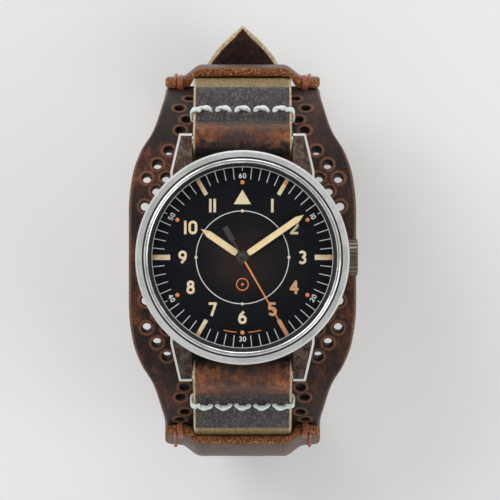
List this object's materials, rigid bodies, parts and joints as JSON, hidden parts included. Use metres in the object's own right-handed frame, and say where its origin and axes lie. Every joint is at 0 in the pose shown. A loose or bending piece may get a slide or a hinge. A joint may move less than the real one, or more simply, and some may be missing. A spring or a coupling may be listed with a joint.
{
  "type": "pilot watch",
  "caption": "Pilot wristwatch with a black three-hand dial on a wide leather cuff strap, buckled as a closed loop, with hand-wound movement inside.",
  "frame": {"origin": "on the surface it stands on, under the axis of the hands, at the middle of the fixed keeper's lower face", "axes": "+Z is the way the dial faces, +Y is toward 12 o'clock, +X is toward the crown"},
  "size_m": [0.0453, 0.0886, 0.0624],
  "materials": {
    "polished_steel": "polished stainless steel",
    "brushed_steel": "brushed stainless steel",
    "bronze_steel": "warm gunmetal",
    "glass": "clear domed glass",
    "dial_black": "matt near-black",
    "black_ring": "matt black",
    "seal": "black rubber",
    "brass_gilt": "gilt brass",
    "movement_nickel": "nickel-plated, grained",
    "blued_spring": "tempered spring steel",
    "ruby": "synthetic ruby",
    "spacer": "matt nylon",
    "hand_lume": "cream lume over a dark edge",
    "hand_orange": "matt orange paint",
    "pad_leather": "oiled dark brown, worn",
    "strap_leather": "dark brown, burnished",
    "bridge_leather": "grey-brown grain, rust cut edges",
    "orange_thread": "waxed orange-brown thread",
    "pale_thread": "waxed pale thread"
  },
  "bodies": {
    "watch": {"case_body": "brushed_steel", "bezel": "polished_steel", "crystal": "glass", "crystal_gasket": "seal", "rehaut": "black_ring", "dial": "dial_black", "caseback": "brushed_steel", "caseback_gasket": "seal", "movement_ring": "spacer", "crown_tube": "brushed_steel", "spring_bar_12": "brushed_steel", "spring_bar_6": "brushed_steel", "mainplate": "movement_nickel", "barrel_bridge": "movement_nickel", "train_bridge": "movement_nickel", "balance_cock": "movement_nickel", "pallet_bridge": "movement_nickel", "movement_screws": "blued_spring", "jewels": "ruby", "click": "movement_nickel", "hairspring": "blued_spring", "leather_pad": "pad_leather", "bridge_12": "bridge_leather", "bridge_6": "bridge_leather", "bridge_thread": "orange_thread", "buckle_strap": "strap_leather", "tip_strap": "strap_leather", "strap_thread_12": "pale_thread", "strap_thread_6": "pale_thread", "buckle_frame": "polished_steel", "buckle_bar": "brushed_steel", "fixed_keeper": "strap_leather"},
    "seconds_arbor": {"fourth_wheel": "brass_gilt", "seconds_hand": "hand_orange"},
    "minute_arbor": {"centre_wheel": "brass_gilt", "cannon_pinion": "movement_nickel", "minute_hand": "hand_lume"},
    "hour_pipe": {"hour_wheel": "brass_gilt", "hour_hand": "hand_lume"},
    "third_arbor": {"third_wheel": "brass_gilt"},
    "escape_arbor": {"escape_wheel": "movement_nickel"},
    "barrel_drum": {"barrel": "brass_gilt", "mainspring": "blued_spring"},
    "minute_work": {"minute_wheel": "brass_gilt"},
    "setting_work": {"setting_wheel": "brass_gilt"},
    "barrel_arbor": {"ratchet_wheel": "movement_nickel"},
    "crown_wheel_disc": {"crown_wheel": "movement_nickel"},
    "winding_barrel": {"winding_pinion": "movement_nickel"},
    "clutch": {"sliding_pinion": "movement_nickel"},
    "stem_and_crown": {"stem": "movement_nickel", "crown": "bronze_steel", "crown_gasket": "seal"},
    "detent": {"setting_lever": "movement_nickel"},
    "clutch_lever": {"yoke": "movement_nickel"},
    "balance": {"balance_wheel": "brass_gilt"},
    "pallets": {"pallet_fork": "movement_nickel"},
    "tongue": {"buckle_tongue": "polished_steel"},
    "loose_keeper": {"floating_keeper": "strap_leather"}
  },
  "joints": [
    {"name": "seconds_turn", "type": "hinge", "parent": "watch", "child": "seconds_arbor", "pos_m": [0, 0, 0.05146], "axis": [0, 0, -1], "continuous": true},
    {"name": "minutes_turn", "type": "hinge", "parent": "watch", "child": "minute_arbor", "pos_m": [0, 0, 0.05146], "axis": [0, 0, -1], "continuous": true},
    {"name": "hours_turn", "type": "hinge", "parent": "watch", "child": "hour_pipe", "pos_m": [0, 0, 0.05146], "axis": [0, 0, -1], "continuous": true},
    {"name": "third_turn", "type": "hinge", "parent": "watch", "child": "third_arbor", "pos_m": [-0.00372, -0.00135, 0.05146], "axis": [0, 0, -1], "continuous": true},
    {"name": "escape_turn", "type": "hinge", "parent": "watch", "child": "escape_arbor", "pos_m": [0.00102, -0.00279, 0.05146], "axis": [0, 0, -1], "continuous": true},
    {"name": "barrel_turn", "type": "hinge", "parent": "watch", "child": "barrel_drum", "pos_m": [0.00315, 0.00546, 0.05146], "axis": [0, 0, -1], "continuous": true},
    {"name": "minute_wheel_turn", "type": "hinge", "parent": "watch", "child": "minute_work", "pos_m": [0.0024, 0, 0.05146], "axis": [0, 0, -1], "continuous": true},
    {"name": "setting_wheel_turn", "type": "hinge", "parent": "watch", "child": "setting_work", "pos_m": [0.00516, 0, 0.05146], "axis": [0, 0, -1], "continuous": true},
    {"name": "crown_turn", "type": "hinge", "parent": "watch", "child": "winding_barrel", "pos_m": [0.0097, 0, 0.05566], "axis": [1, 0, 0], "continuous": true},
    {"name": "crown_pull", "type": "slide", "parent": "winding_barrel", "child": "stem_and_crown", "axis": [1, 0, 0], "range_m": [0, 0.0012]},
    {"name": "clutch_shift", "type": "slide", "parent": "winding_barrel", "child": "clutch", "axis": [-1, 0, 0], "range_m": [0, 0.0006]},
    {"name": "detent_swing", "type": "hinge", "parent": "watch", "child": "detent", "pos_m": [0.01127, 0.0024, 0.05146], "axis": [0, 0, 1], "range_deg": [0, 28.65]},
    {"name": "clutch_lever_swing", "type": "hinge", "parent": "watch", "child": "clutch_lever", "pos_m": [0.00784, -0.0026, 0.05146], "axis": [0, 0, 1], "range_deg": [0, 13.22]},
    {"name": "crown_wheel_turn", "type": "hinge", "parent": "watch", "child": "crown_wheel_disc", "pos_m": [0.0065, 0, 0.05146], "axis": [0, 0, 1], "continuous": true},
    {"name": "barrel_arbor_turn", "type": "hinge", "parent": "watch", "child": "barrel_arbor", "pos_m": [0.00315, 0.00546, 0.05146], "axis": [0, 0, 1], "continuous": true},
    {"name": "balance_swing", "type": "hinge", "parent": "watch", "child": "balance", "pos_m": [0.0018, -0.00831, 0.05146], "axis": [0, 0, 1], "range_deg": [-270, 270]},
    {"name": "pallet_rock", "type": "hinge", "parent": "watch", "child": "pallets", "pos_m": [0.0014, -0.00551, 0.05146], "axis": [0, 0, 1], "range_deg": [-5, 5]},
    {"name": "tongue_lift", "type": "hinge", "parent": "watch", "child": "tongue", "pos_m": [0, -0.007, 0.00513], "axis": [1, 0, 0], "range_deg": [0, 6]},
    {"name": "keeper_slide", "type": "slide", "parent": "watch", "child": "loose_keeper", "axis": [0, 1, 0], "range_m": [-0.0025, 0.004]}
  ],
  "couplings": [
    {"joint": "third_turn", "follows": "seconds_turn", "ratio": -0.13333},
    {"joint": "minutes_turn", "follows": "seconds_turn", "ratio": 0.016667},
    {"joint": "hours_turn", "follows": "seconds_turn", "ratio": 0.0013889},
    {"joint": "minute_wheel_turn", "follows": "seconds_turn", "ratio": -0.0055556},
    {"joint": "setting_wheel_turn", "follows": "seconds_turn", "ratio": 0.010417},
    {"joint": "barrel_turn", "follows": "seconds_turn", "ratio": -0.0027778},
    {"joint": "escape_turn", "follows": "seconds_turn", "ratio": -10},
    {"joint": "crown_wheel_turn", "follows": "crown_turn", "ratio": 0.375},
    {"joint": "barrel_arbor_turn", "follows": "crown_turn", "ratio": -0.375},
    {"joint": "clutch_shift", "follows": "crown_pull", "ratio": 0.5},
    {"joint": "detent_swing", "follows": "crown_pull", "rad_per_m": 416.67},
    {"joint": "clutch_lever_swing", "follows": "crown_pull", "rad_per_m": 192.31}
  ]
}
